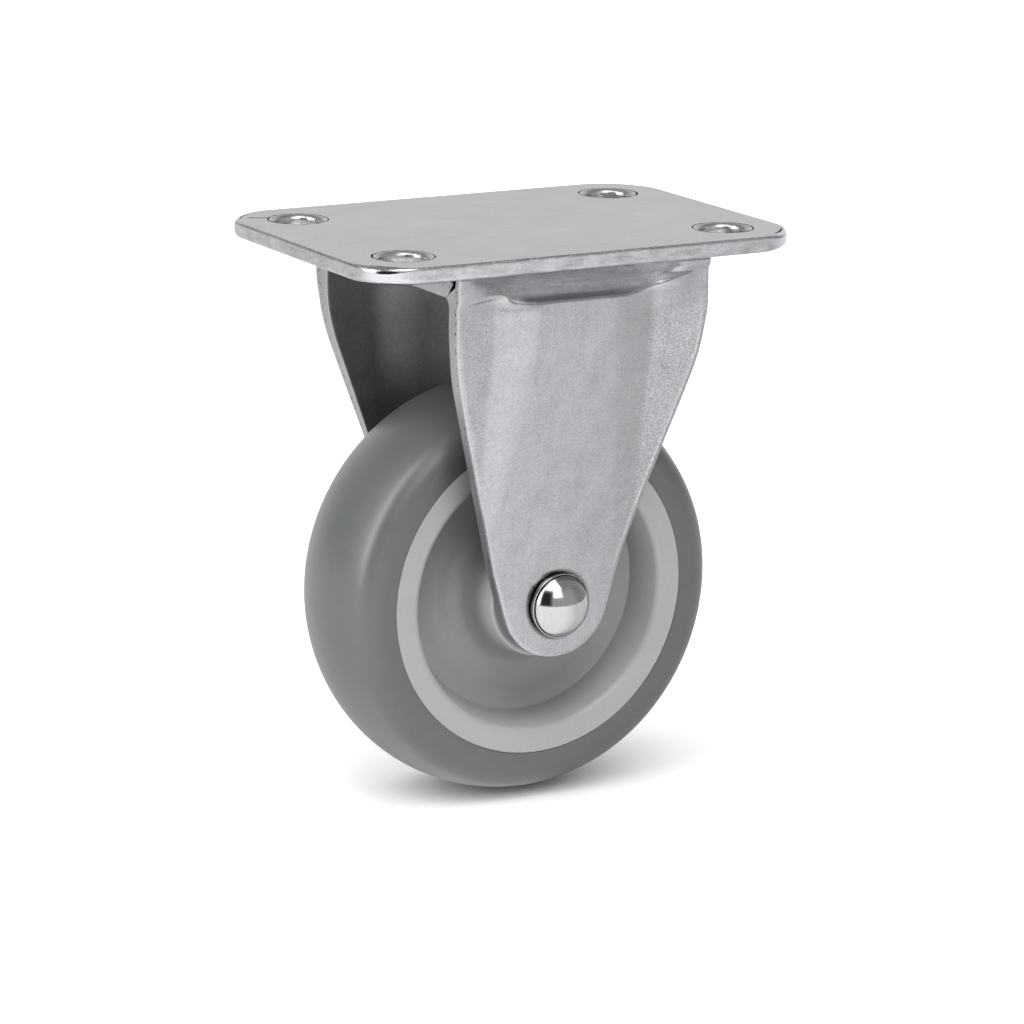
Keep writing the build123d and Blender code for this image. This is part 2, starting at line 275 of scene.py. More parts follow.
def shaded(color, *factors, dark=()):
    """A colour made darker or lighter by factors, and darker by a depth wherever a mask is 1."""
    level = times(*factors, *(dark_where(mask, depth) for mask, depth in dark))
    dull = put("ShaderNodeCombineColor", {"Red": level, "Green": level, "Blue": level}).outputs[0]
    inputs = {0: 1.0, 6: color, 7: dull}
    return put("ShaderNodeMix", inputs, data_type="RGBA", blend_type="MULTIPLY").outputs[2]


def band(value, start, peak, end):
    """0 up to start, 1 at the peak and 0 again from the end on."""
    return times(spread(value, start, peak), spread(value, peak, end, 1.0, 0.0))


def read_marks(shader, *names):
    """Numbers that the mesh carries at each of its points."""
    return [put("ShaderNodeAttribute", tree=shader.id_data, attribute_name=name).outputs["Fac"]
            for name in names]


def dark_where(mask, depth):
    """A factor that is 1 where the mask is 0 and falls by the depth where it is 1."""
    return total(1.0, (mask, -depth))


def round_axle(place):
    """Coordinates from the axle, with nothing along it."""
    inputs = {"Vector": place, "Location": (0, 0, -AXLE_Z * MM), "Scale": (1, 0, 1)}
    return put("ShaderNodeMapping", inputs).outputs[0]


def new_finish(name):
    """An empty material with its Object coordinates and its shader."""
    material = bpy.data.materials.new(name)
    material.use_nodes = True
    tree = material.node_tree
    tree.nodes.clear()
    place = put("ShaderNodeTexCoord", tree=tree).outputs["Object"]
    shader = put("ShaderNodeBsdfPrincipled", tree=tree)
    put("ShaderNodeOutputMaterial", {"Surface": shader.outputs[0]})
    return material, place, shader


def finish_with(shader, color, rough, *heights, **others):
    """Fills the shader's inputs. The heights are patterns for its relief."""
    if heights:
        others["Normal"] = relief(*heights)
    fill(shader, {"Base Color": color, "Roughness": rough, **others})


# %% [markdown]
# The top plate shows what handling does to a flat sheet: fine rub lines along its length, scuffs, and one
# nick near a corner. Its top edge keeps a burr from the shears, a dark hairline with crumbs beside it that
# are painted bright, as painted glints, while the edge face is mottled. Tumbling has polished the four
# corners until they mirror the room. The mesh carries marks for this: its rim as the distance from the
# edge, its bores, and where it is polished.

# %% Plate finish
ZINC = (0.985, 0.985, 1.03)
PLATE_GREY = 0.68
PLATE_ROUGHNESS = 0.27
POLISHED_TONE = 1.25
NICK = ((-38.8, 24.2), (-36.3, 23.0))
NICK_WIDTH = 0.7


def near_line(place, start, end, width):
    """1 on a line between two points of the plate's face, and 0 beyond its width, all in millimetres."""
    middle = [(a + b) / 2 * MM for a, b in zip(start, end)]
    length = math.dist(start, end) / 2 * MM
    turn = math.atan2(end[1] - start[1], end[0] - start[0])
    inputs = {"Vector": place, "Location": (*middle, 0), "Rotation": (0, 0, turn)}
    local = put("ShaderNodeMapping", inputs, vector_type="TEXTURE").outputs[0]
    part = put("ShaderNodeSeparateXYZ", {0: local}).outputs
    beyond = calc("MAXIMUM", calc("SUBTRACT", calc("ABSOLUTE", part["X"]), length), 0.0)
    distance = calc("SQRT", total(0.0, (beyond, beyond), (part["Y"], part["Y"])))
    return spread(distance, 0.4 * width * MM, width * MM, 1.0, 0.0)


plate_zinc, place, shader = new_finish("brushed zinc plate")
clouds = noise(place, 55)
blotches = noise(place, 330)
rubs = noise(place, 2100, 2, 0.6, stretch=(0.05, 1.0, 1.0))
fine = noise(place, 3000, 1)
scuffs = noise(place, 420, 2, 0.7, stretch=(0.35, 1.0, 1.0), turn=(0, 0, 0.3))
scuffs = spread(scuffs, 0.66, 0.74)
rim, bore, polish = read_marks(shader, "rim", "bore", "polish")
edge = spread(rim, -0.35, -0.15, 1.0, 0.0)
broken = spread(noise(place, 500), 0.34, 0.52)
hairline = times(band(rim, -0.62, -0.40, -0.20), broken)
# Crumbs beside the burr, painted bright: painted glints.
crumb_glints = spread(noise(place, 2300, 1), 0.56, 0.62)
crumb_glints = times(crumb_glints, band(rim, -0.35, -0.05, 0.30))
mottle = noise(place, 700, 2, 0.65, stretch=(0.35, 0.35, 1.0))
nick = near_line(place, *NICK, NICK_WIDTH)
drilled = times(bore, noise(place, 1500, 1, stretch=(1.0, 1.0, 0.06)))
face = tone((clouds, 0.24), (blotches, 0.26), (rubs, 0.62), (fine, 0.62))
side = tone((blotches, 0.50), (mottle, 1.10), (fine, 0.60))
level = mix(edge, face, side)
plain = total(level, (polish, calc("SUBTRACT", POLISHED_TONE, level)))
color = shaded(grey(PLATE_GREY, ZINC), total(plain, (edge, 0.14), (crumb_glints, 0.8)), tone((drilled, 0.8)),
               dark=((hairline, 0.42), (nick, 0.62), (scuffs, 0.10), (bore, 0.22)))
rough = times(total(PLATE_ROUGHNESS, (blotches, 0.10)), dark_where(polish, 0.72),
              dark_where(bore, 0.15))
finish_with(shader, color, rough, (rubs, 0.010), (fine, 0.008), (times(mottle, edge), 0.05),
            (drilled, 0.05), (nick, -0.15), Metallic=1.0)

# %% [markdown]
# On the fork the press has stretched the sheet, and stretched steel roughens to an orange peel, most of all
# in the margins beside the panel. The cut faces show how a punch works: a burnished strip on the side where
# it entered, and a torn, darker zone with pits behind it. The inside of the fork is rougher and painted
# darker, as painted shade, and so is the hollow under the plate. A painted shadow rings the rivet's head.

# %% Fork finish
FORK_GREY = 0.59
FORK_ROUGHNESS = 0.17
RIVET_SHADOW_RADIUS = 6.0
AXLE_Z = -64.6

fork_zinc, place, shader = new_finish("pressed zinc fork")
clouds = noise(place, 48)
blotches = noise(place, 260, 2, 0.6)
grain = noise(place, 1500, 2, 0.6)
fine = noise(place, 4400, 1)
drawn = noise(place, 900, stretch=(1.0, 1.0, 0.10))
rim, inside, peel, lip, fold = read_marks(shader, "rim", "inside", "peel", "lip", "fold")
streaks = noise(place, 1200, 2, 0.6, stretch=(0.10, 1.0, 1.0))
depth = times(rim, -1.0)
cut = spread(depth, 0.20, 0.55)
torn = spread(total(depth, (blotches, 0.7)), 1.15, 1.35)
torn_cut = times(cut, torn)
pits = spread(noise(place, 1500, 2, 0.6), 0.57, 0.62)
pits = times(pits, band(depth, 0.8, 1.3, 1.9))
# A dark ring is painted on the leg round the rivet's head: a painted shadow.
away = vector_calc("LENGTH", round_axle(place))
rivet_shadow = spread(away, (RIVET_SHADOW_RADIUS - 0.1) * MM, (RIVET_SHADOW_RADIUS + 0.7) * MM, 1.0, 0.0, smooth=True)
face = tone((clouds, 0.20), (blotches, 0.24), (grain, 0.22), (fine, 0.62), (drawn, 0.16))
crinkles = noise(place, 2400, 2, 0.7)
peeled = tone((spread(crinkles, 0.35, 0.65), 0.24), (spread(fine, 0.35, 0.65), 0.22))
# The fold mark covers the hollow under the plate: its streaks are texture, and its darkening below is
# painted shade.
creased = times(fold, streaks)
# The inside of the fork is painted darker here: painted shade.
color = shaded(grey(FORK_GREY, ZINC), face, mix(peel, 1.0, peeled), tone((creased, 0.7)),
               total(1.0, (cut, 0.50)), total(1.0, (lip, 0.20)),
               dark=((inside, 0.28), (fold, 0.14), (torn_cut, 0.26), (pits, 0.80), (rivet_shadow, 0.70)))
rough = total(FORK_ROUGHNESS, (blotches, 0.12), (torn_cut, 0.22), (inside, 0.22))
finish_with(shader, color, rough, (grain, 0.014), (fine, 0.006), (times(crinkles, peel), 0.035),
            (lip, 0.08), (creased, 0.03), (times(grain, torn_cut), 0.16), Metallic=1.0)

# %% [markdown]
# The small steel parts are plain. The rivet's head was polished by the tool that formed it, with a few fine
# rings and specks left. The plastics are moulded: the hub is pale and a little glossy, and its dishes are
# painted darker towards the bottom, as painted shade in the hollow. The tread is a grey rubber with a soft
# sheen.

# %% Other finishes
STEEL_GREY, STEEL_ROUGHNESS = 0.50, 0.22
RIVET_GREY, RIVET_ROUGHNESS = 0.48, 0.07
HUB_GREY, HUB_ROUGHNESS = 0.46, 0.25
BUSH_GREY, BUSH_ROUGHNESS = 0.60, 0.35
TREAD_GREY, TREAD_ROUGHNESS = 0.122, 0.31
TREAD_TINT = (0.95, 1.0, 1.04)
TREAD_IOR = 1.6
DISH_DEEP = 5.0
DISH_LIP = 12.4
DISH_SHADE = 0.32

inner_steel, place, shader = new_finish("plain steel")
grain = noise(place, 1600)
clouds = noise(place, 200)
color = shaded(grey(STEEL_GREY, ZINC), tone((grain, 0.3), (clouds, 0.3)))
rough = total(STEEL_ROUGHNESS, (clouds, 0.2))
finish_with(shader, color, rough, (grain, 0.02), Metallic=1.0)

rivet_chrome, place, shader = new_finish("polished rivet")
clouds = noise(place, 260)
specks = spread(noise(place, 1500, 1), 0.70, 0.74)
inputs = {"Vector": round_axle(place), "Scale": 420, "Distortion": 1.2, "Detail": 2.0}
rings = put("ShaderNodeTexWave", inputs, wave_type="RINGS", rings_direction="Y").outputs["Fac"]
color = shaded(grey(RIVET_GREY), tone((clouds, 0.20), (rings, 0.03)), dark=[(specks, 0.3)])
rough = total(RIVET_ROUGHNESS, (clouds, 0.08))
finish_with(shader, color, rough, (rings, 0.0012), Metallic=1.0)

hub_plastic, place, shader = new_finish("pale hub plastic")
clouds = noise(place, 90)
skin = noise(place, 1400)
fine = noise(place, 3200, 1)
out = calc("ABSOLUTE", put("ShaderNodeSeparateXYZ", {0: place}).outputs["Y"])
# The dishes are painted darker towards the bottom: painted shade in the hollow.
dish_shade = spread(out, DISH_DEEP * MM, DISH_LIP * MM, 1.0, 0.0, smooth=True)
color = shaded(grey(HUB_GREY), tone((clouds, 0.10), (skin, 0.08), (fine, 0.10)),
               dark=[(dish_shade, DISH_SHADE)])
rough = total(HUB_ROUGHNESS, (skin, 0.14))
finish_with(shader, color, rough, (skin, 0.006))

bush_plastic, place, shader = new_finish("bush plastic")
skin = noise(place, 900)
color = shaded(grey(BUSH_GREY), tone((skin, 0.12)))
finish_with(shader, color, total(BUSH_ROUGHNESS, (skin, 0.2)))

tread_rubber, place, shader = new_finish("grey tread rubber")
clouds = noise(place, 60)
blotches = noise(place, 420)
fine = noise(place, 2800, 1)
color = shaded(grey(TREAD_GREY, TREAD_TINT), tone((clouds, 0.14), (blotches, 0.12), (fine, 0.16)))
rough = total(TREAD_ROUGHNESS, (blotches, 0.06))
finish_with(shader, color, rough, (fine, 0.007), IOR=TREAD_IOR)

FINISHES = {
    "top_plate": plate_zinc, "fork": fork_zinc, "axle_rivet": rivet_chrome, "axle_sleeve": inner_steel,
    "washer_front": inner_steel, "washer_back": inner_steel, "hub_core": hub_plastic,
    "tread": tread_rubber, "bush_front": bush_plastic, "bush_back": bush_plastic}
for name, finish in FINISHES.items():
    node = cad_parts[name]
    node.data.materials.clear()
    node.data.materials.append(finish)

# %% [markdown]
# The wheel and everything on the axle are turned parts: one flat profile spun round the axle. A profile is a
# list of corners, each with the radius that the mould or the tool left on it. Rounded corners matter more
# than anything else here, because a real edge always catches a line of light.

# %% Profiles with rounded corners
FINE_TURN = math.radians(9)
FINE_STEP = 0.5
GUARD = 0.10


def unit(vector):
    return vector / np.linalg.norm(vector)


def arc(centre, radius, start, end):
    """Points on an arc, from one angle to another in radians."""
    turn = abs(end - start)
    steps = max(2, math.ceil(turn / FINE_TURN), math.ceil(radius * turn / FINE_STEP))
    angles = np.linspace(start, end, steps + 1)
    return np.stack([centre[0] + radius * np.cos(angles), centre[1] + radius * np.sin(angles)], 1)


def rounded(corners):
    """A path in millimetres through corners given as (along, out, radius). A sharp corner has radius 0."""
    path = []
    for index, (along, out, radius) in enumerate(corners):
        here = np.array((along, out), float)
        if radius == 0 or index in (0, len(corners) - 1):
            path.append(here)
            continue
        way_in = unit(here - np.array(corners[index - 1][:2]))
        way_out = unit(np.array(corners[index + 1][:2]) - here)
        side = 1 if way_in[0] * way_out[1] > way_in[1] * way_out[0] else -1
        turn = math.acos(np.clip(way_in @ way_out, -1, 1))
        start = here - way_in * radius * math.tan(turn / 2)
        outward = side * np.array((way_in[1], -way_in[0]))
        angle = math.atan2(outward[1], outward[0])
        path.append(start - way_in * GUARD)
        path.extend(arc(start - radius * outward, radius, angle, angle + side * turn))
        path.append(path[-1] + way_out * GUARD)
    return np.array(path)


def both_sides(half):
    """A closed profile from its +Y half: the same points mirrored and put in reverse order after them."""
    other = half[::-1] * (-1, 1)
    return np.concatenate([half, other, half[:1]])


# %% [markdown]
# Spinning a profile is a rule, so Geometry Nodes do it. The tree lays out a grid with one column for each
# step round the axle and one row for each point of the profile, and then moves every grid point to its
# place. Merging by distance closes the seam and the poles.

# %% A lathe in Geometry Nodes
STEPS_ROUND = 192


def whole(operation, first, second):
    """A sum with whole numbers."""
    return put("FunctionNodeIntegerMath", {0: first, 1: second}, operation=operation).outputs[0]


def lathe_tree():
    tree = bpy.data.node_groups.new("lathe", "GeometryNodeTree")
    for name, way, kind in (("Profile", "INPUT", "Geometry"), ("Steps round", "INPUT", "Int"),
                            ("Axle height", "INPUT", "Float"), ("Finish", "INPUT", "Material"),
                            ("Part", "OUTPUT", "Geometry")):
        tree.interface.new_socket(name=name, in_out=way, socket_type="NodeSocket" + kind)
    given = put("NodeGroupInput", tree=tree).outputs
    rows = put("GeometryNodeAttributeDomainSize", {0: given["Profile"]}).outputs["Point Count"]
    columns = whole("ADD", given["Steps round"], 1)
    grid = put("GeometryNodeMeshGrid", {"Vertices X": columns, "Vertices Y": rows}).outputs["Mesh"]
    index = put("GeometryNodeInputIndex", tree=tree).outputs[0]
    row = whole("MODULO", index, rows)
    column = whole("DIVIDE_FLOOR", index, rows)
    place = put("GeometryNodeInputPosition", tree=tree).outputs[0]
    inputs = {"Geometry": given["Profile"], "Value": place, "Index": row}
    sample = put("GeometryNodeSampleIndex", inputs, data_type="FLOAT_VECTOR").outputs[0]
    point = put("ShaderNodeSeparateXYZ", {0: sample}).outputs
    angle = calc("DIVIDE", times(column, math.tau), given["Steps round"])
    across = times(point["Z"], calc("SINE", angle))
    height = total(given["Axle height"], (point["Z"], calc("COSINE", angle)))
    moved = put("ShaderNodeCombineXYZ", {"X": across, "Y": point["Y"], "Z": height}).outputs[0]
    part = grid
    for kind, inputs in (("SetPosition", {"Position": moved}), ("MergeByDistance", {"Distance": 0.001 * MM}),
                         ("SetShadeSmooth", {}), ("SetMaterial", {"Material": given["Finish"]})):
        part = put("GeometryNode" + kind, {"Geometry": part, **inputs}).outputs[0]
    put("NodeGroupOutput", {"Part": part})
    return tree


LATHE = lathe_tree()


def placed(name, mesh, weld=(), reach=0.0):
    """An object for a closed mesh, with its normals turned outwards. Close points in the weld are merged."""
    work = bmesh.new()
    work.from_mesh(mesh)
    work.verts.ensure_lookup_table()
    bmesh.ops.remove_doubles(work, verts=[work.verts[number] for number in weld], dist=reach * MM)
    bmesh.ops.recalc_face_normals(work, faces=work.faces)
    volume = work.calc_volume(signed=True)
    open_edges = sum(not edge.is_manifold for edge in work.edges)
    work.to_mesh(mesh)
    work.free()
    mesh.name = name
    piece = bpy.data.objects.new(name, mesh)
    bpy.context.scene.collection.objects.link(piece)
    print(name, len(mesh.polygons), "faces", round(volume * 1e9, 1), "mm3,", open_edges, "open edges")
    return piece


def turned(name, profile, finish, slot, body, *nodes):
    """Runs the lathe on a profile of (along the axle, radius) in millimetres, and keeps a plain mesh."""
    start = bpy.data.meshes.new(name)
    points = [(0, along * MM, radius * MM) for along, radius in profile]
    start.from_pydata(points, [(row, row + 1) for row in range(len(points) - 1)], [])
    seed = bpy.data.objects.new(name + "_start", start)
    bpy.context.scene.collection.objects.link(seed)
    modifier = seed.modifiers.new("lathe", "NODES")
    modifier.node_group = LATHE
    inputs = {"Steps round": STEPS_ROUND, "Axle height": AXLE_Z * MM, "Finish": finish}
    for item in LATHE.interface.items_tree:
        if item.name in inputs:
            modifier[item.identifier] = inputs[item.name]
    evaluated = seed.evaluated_get(bpy.context.evaluated_depsgraph_get())
    piece = placed(name, bpy.data.meshes.new_from_object(evaluated))
    bpy.data.objects.remove(seed)
    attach(piece, body)
    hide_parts(*nodes)
    return piece


# %% [markdown]
# The tread is soft rubber moulded round the hub's rim. Its crown is an arc, its shoulders are large, and
# where it meets the hub both parts have a small radius, which reads as the fine line between two materials.

# %% Tread
WHEEL_RADIUS = 37.5
CROWN_RADIUS = 24.0
SHOULDER_RADIUS = 5.0
TREAD_HALF_WIDTH = 12.8
RIM_HALF_WIDTH = 12.6
RING_OUTER = 28.7
RING_INNER = 24.4
SEAM_RADIUS = 0.22
RIM_DEPTH = 3.0

crown_centre = np.array((0.0, WHEEL_RADIUS - CROWN_RADIUS))
corner = np.array((TREAD_HALF_WIDTH,
                   crown_centre[1] + math.sqrt(CROWN_RADIUS ** 2 - TREAD_HALF_WIDTH ** 2)))
side_foot = np.array((RIM_HALF_WIDTH, RING_OUTER))
down = unit(side_foot - corner)
inward = np.array((down[1], -down[0]))
reach = corner + inward * SHOULDER_RADIUS - crown_centre
along = reach @ down
slide = -along - math.sqrt(along ** 2 - reach @ reach + (CROWN_RADIUS - SHOULDER_RADIUS) ** 2)
shoulder_centre = crown_centre + reach + down * slide
crown_end = math.atan2(*(shoulder_centre - crown_centre)[::-1])
side_angle = math.atan2(-inward[1], -inward[0])
seam = rounded([
    (*(side_foot - down * 2), 0),
    (*side_foot, SEAM_RADIUS),
    (RIM_HALF_WIDTH - RIM_DEPTH, RING_OUTER, 0)])
half_tread = np.concatenate([
    arc(crown_centre, CROWN_RADIUS, math.pi / 2, crown_end),
    arc(shoulder_centre, SHOULDER_RADIUS, crown_end, side_angle)[1:],
    seam[1:]])
turned("rubber_tread", both_sides(half_tread), tread_rubber, "tread_rubber", "wheel", "tread")

# %% [markdown]
# The hub is one moulding: a boss for the bearings, a dished web, and a flat ring that shows as the pale band
# inside the tread. Moulds need draft and generous radii, so no two of its faces meet at a sharp corner.

# %% Hub
WALL_FOOT = 22.3
DISH_FLOOR = 18.0
WEB_HALF_THICKNESS = 4.6
WALL_FOOT_DEPTH = 6.6
BOSS_RADIUS = 10.6
BOSS_ROOT = 11.4
BOSS_HALF_LENGTH = 14.0
BUSH_SEAT = 7.45
BUSH_STOP = 5.0
BORE = 6.55

half_hub = rounded([
    (0, BORE, 0),
    (BUSH_STOP, BORE, 0),
    (BUSH_STOP, BUSH_SEAT, 0),
    (BOSS_HALF_LENGTH, BUSH_SEAT, 0),
    (BOSS_HALF_LENGTH, BOSS_RADIUS, 0.6),
    (WEB_HALF_THICKNESS, BOSS_ROOT, 4.0),
    (WEB_HALF_THICKNESS, DISH_FLOOR, 8.0),
    (RIM_HALF_WIDTH - WALL_FOOT_DEPTH, WALL_FOOT, 0.35),
    (RIM_HALF_WIDTH, RING_INNER, 1.3),
    (RIM_HALF_WIDTH, RING_OUTER, SEAM_RADIUS),
    (RIM_HALF_WIDTH - RIM_DEPTH, RING_OUTER, 0)])
turned("moulded_hub", both_sides(half_hub), hub_plastic, "hub_plastic", "wheel", "hub_core")

# %% [markdown]
# The rivet is the axle. Its domed head is polished, with a band under the dome and a thin shadow gap under
# the band. The other end is peened over, with the dimple that the punch left.

# %% Rivet
LEG_SEAT = 18.8
SHANK_RADIUS = 4.0
HEAD_RADIUS = 5.75
HEAD_FOOT = 0.40
HEAD_BAND = 0.95
HEAD_DOME = 3.4
HEAD_UNDERCUT = 0.4
DOME_STEP = 0.15
TAIL_RADIUS = 5.6
TAIL_HEIGHT = 1.9
TAIL_CROWN = 4.6
DIMPLE_RADIUS = 1.6
DIMPLE_DEPTH = 0.7

band_start = -LEG_SEAT - HEAD_FOOT
band_end = band_start - HEAD_BAND
dome_foot = HEAD_RADIUS - DOME_STEP
dome_radius = (dome_foot ** 2 + HEAD_DOME ** 2) / (2 * HEAD_DOME)
dome_centre = np.array((band_end - HEAD_DOME + dome_radius, 0))
foot_angle = math.pi - math.asin(dome_foot / dome_radius)
shank = rounded([
    (band_end - 0.02, dome_foot, 0),
    (band_end, HEAD_RADIUS, 0.1),
    (band_start, HEAD_RADIUS, 0.2),
    (band_start, HEAD_RADIUS - HEAD_UNDERCUT, 0),
    (-LEG_SEAT, HEAD_RADIUS - HEAD_UNDERCUT, 0),
    (-LEG_SEAT, SHANK_RADIUS, 0),
    (LEG_SEAT, SHANK_RADIUS, 0),
    (LEG_SEAT, TAIL_RADIUS, 0)])
tail_end = LEG_SEAT + TAIL_HEIGHT
tail_ends = np.array(((LEG_SEAT, TAIL_RADIUS), (tail_end, DIMPLE_RADIUS)))
chord = tail_ends[1] - tail_ends[0]
away = unit(np.array((chord[1], -chord[0])))
tail_centre = tail_ends.mean(axis=0) + away * math.sqrt(TAIL_CROWN ** 2 - chord @ chord / 4)
tail = arc(tail_centre, TAIL_CROWN, *(math.atan2(out, along) for along, out in tail_ends - tail_centre))
dimple = rounded([
    (*tail[-1], 0),
    (tail_end, DIMPLE_RADIUS, 0),
    (tail_end - DIMPLE_DEPTH * 0.8, DIMPLE_RADIUS * 0.45, 0.6),
    (tail_end - DIMPLE_DEPTH, 0, 0)])
rivet = np.concatenate([arc(dome_centre, dome_radius, math.pi, foot_angle), shank[1:-1], tail, dimple[2:]])
turned("axle_rivet_polished", rivet, rivet_chrome, "rivet_steel", "frame", "axle_rivet")

# %% [markdown]
# The top plate is blanked from strip and then tumbled, so its outline has big corners, its top edge is
# crisp, its lower edge is rolled over, and the rims of the four holes are dished. The mesh is built the way
# a jeweller would file it: flat faces filled between loops, and a row of narrow rings over every edge.

# %% Top plate
PLATE_LENGTH = 85.2
PLATE_WIDTH = 60.9
PLATE_THICKNESS = 2.9
PLATE_CORNER = 10.0
PLATE_TOP_EDGE = 0.28
PLATE_LOW_EDGE = 0.8
TUMBLED_TOP = 0.85
TUMBLED_LOW = 0.30
POLISHED_SPAN = (0.25, 0.95)
POLISHED_INSET = 0.6
HOLE_RADIUS = 4.3
HOLE_RIM = 0.95
HOLE_LOW_RIM = 0.12
HOLE_X = 31.6
HOLE_Y = 19.7
BORE_TOP = -0.3
CORNER_STEPS = 24
HOLE_STEPS = 64
EDGE_STEPS = 7
FLAT_RINGS = (1.6, 0.9)
FLAT_GUARD = 0.12
SIDE_GUARD = 0.1
FAR_FROM_RIM = 9


def ramp(value, start, end):
    """0 before start, 1 after end, and smooth between."""
    t = np.clip((value - start) / (end - start), 0, 1)
    return t * t * (3 - 2 * t)


def edge_rows(top, low):
    """(inset, height, rim mark) of the rings over an edge, from the top face to the underside."""
    under = -PLATE_THICKNESS
    quarter = np.linspace(0, math.pi / 2, EDGE_STEPS)
    rows = [(inset, 0, inset) for inset in (*FLAT_RINGS, top + FLAT_GUARD)]
    for turn in quarter:
        inset, height = top * (1 - math.sin(turn)), top * (math.cos(turn) - 1)
        rows.append((inset, height, inset + height))
    rows += [(0, -top - SIDE_GUARD, -top - SIDE_GUARD), (0, under + low + SIDE_GUARD, -2.0)]
    for turn in quarter:
        rows.append((low * (1 - math.cos(turn)), under + low * (1 - math.sin(turn)), -2.4))
    return rows + [(low + FLAT_GUARD, under, -2.5)]


def spoke(centre, radius, angle):
    return centre[0] + radius * math.cos(angle), centre[1] + radius * math.sin(angle)


def plate_stack():
    """Rings of points round the plate, with the marks rim, bore and polish. The corners are rounder."""
    columns = []
    for turn, (sx, sy) in enumerate(((1, 1), (-1, 1), (-1, -1), (1, -1))):
        centre = (sx * (PLATE_LENGTH / 2 - PLATE_CORNER), sy * (PLATE_WIDTH / 2 - PLATE_CORNER))
        for step in np.linspace(0, 1, CORNER_STEPS + 1):
            angle = (turn + step) * math.pi / 2
            tumbled = math.sin(step * math.pi) ** 2
            polish = ramp(tumbled, *POLISHED_SPAN)
            rows = edge_rows(PLATE_TOP_EDGE + TUMBLED_TOP * tumbled, PLATE_LOW_EDGE + TUMBLED_LOW * tumbled)
            columns.append([
                (*spoke(centre, PLATE_CORNER - inset, angle), height, rim, 0,
                 polish * (rim < POLISHED_INSET))
                for inset, height, rim in rows])
    return [list(ring) for ring in zip(*columns)]


def hole_stack(centre):
    """Rings of points down a hole, with the same marks."""
    angles = np.arange(HOLE_STEPS) * math.tau / HOLE_STEPS
    return [[(*spoke(centre, HOLE_RADIUS + inset, angle), height, FAR_FROM_RIM, float(height < BORE_TOP), 0)
             for angle in angles] for inset, height, _ in edge_rows(HOLE_RIM, HOLE_LOW_RIM)]


def add_rings(work, loops, marks):
    """Joins loops of points with quads and gives back the first and last ring of vertices."""
    rings = []
    for loop in loops:
        ring = []
        for point in loop:
            vertex = work.verts.new(Vector(point[:3]) * MM)
            for layer, value in zip(marks, point[3:]):
                vertex[layer] = value
            ring.append(vertex)
        rings.append(ring)
    for first, second in zip(rings, rings[1:]):
        for corners in zip(first, first[1:] + first[:1], second[1:] + second[:1], second):
            work.faces.new(corners)
    return rings[0], rings[-1]


work = bmesh.new()
marks = [work.verts.layers.float.new(name) for name in ("rim", "bore", "polish")]
stacks = [plate_stack()] + [hole_stack((sx * HOLE_X, sy * HOLE_Y)) for sx in (-1, 1) for sy in (-1, 1)]
ends = [add_rings(work, stack, marks) for stack in stacks]
for level in (0, 1):
    edges = [work.edges.get(pair) for rings in ends
             for pair in zip(rings[level], rings[level][1:] + rings[level][:1])]
    bmesh.ops.triangle_fill(work, use_beauty=True, use_dissolve=False, edges=edges)
mesh = bpy.data.meshes.new("plate")
work.to_mesh(mesh)
work.free()
mesh.shade_smooth()
mesh.materials.append(plate_zinc)
plate = placed("zinc_top_plate", mesh)
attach(plate, "frame")
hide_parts("top_plate")

# %% [markdown]
# The fork is the piece that gives a pressed caster its character: one sheet folded into a U, with a raised
# panel down each leg, a bead squeezed out under the plate, and edges that the punch rolled over. A press
# works to measures, so each row of the mesh is one closed ring round the sheet, worked out from the same
# sizes as the solid. The rings run from the tip of one leg over the top to the tip of the other.

# %% Fork: the outline of a leg
FORK_HALF = 24.5
KNEE_Z = AXLE_Z + 46.2
KNEE_RADIUS = 45.0
TOE_RADIUS = 10.7
TOE_Z = AXLE_Z + 0.9
TOP_ZONE = -11.4
TOE_STEPS = 26
KNEE_STEPS = 14
LEG_STEP = 0.85


def arc_rows(centre, radius, angles):
    """Rows of x, z and the outward direction on an arc."""
    spokes = np.stack([np.cos(angles), np.sin(angles)], 1)
    return np.concatenate([centre + radius * spokes, spokes], 1)


def leg_outline():
    """Half of a leg's outline from the tip up to the top zone, as rows of x, z and the outward direction."""
    toe = np.array((0, TOE_Z))
    knee = np.array((FORK_HALF, KNEE_Z))
    away = knee - toe
    tangent = math.atan2(away[1], away[0]) - math.acos(TOE_RADIUS / np.linalg.norm(away))
    angles = -math.pi / 2 + (tangent + math.pi / 2) * np.linspace(0, 1, TOE_STEPS + 1)
    toe_rows = arc_rows(toe, TOE_RADIUS, angles)
    setback = KNEE_RADIUS * math.tan(-tangent / 2)
    normal = np.array((math.cos(tangent), math.sin(tangent)))
    start = toe_rows[-1, :2]
    end = knee - unit(knee - start) * setback
    count = math.ceil(np.linalg.norm(end - start) / LEG_STEP)
    line_rows = [(*(start + (end - start) * t), *normal) for t in np.linspace(0, 1, count + 1)[1:]]
    knee_centre = np.array((FORK_HALF - KNEE_RADIUS, KNEE_Z + setback))
    knee_rows = arc_rows(knee_centre, KNEE_RADIUS, np.linspace(tangent, 0, KNEE_STEPS + 1)[1:])
    last = knee_rows[-1][1]
    count = max(1, math.ceil((TOP_ZONE - last) / LEG_STEP))
    side_rows = [(FORK_HALF, z, 1, 0) for z in np.linspace(last, TOP_ZONE, count + 1)[1:]]
    return np.array([*toe_rows, *line_rows, *knee_rows, *side_rows])


OUTLINE = leg_outline()
print("outline rows", len(OUTLINE), "tip at", round(OUTLINE[0, 1], 2), "mm")

# %% [markdown]
# The face of a leg is a height field. It leans in from the shoulder to the axle, the panel stands proud of
# it with soft shoulders, and the margins beside it flare out a touch, because the press pulls the sheet.

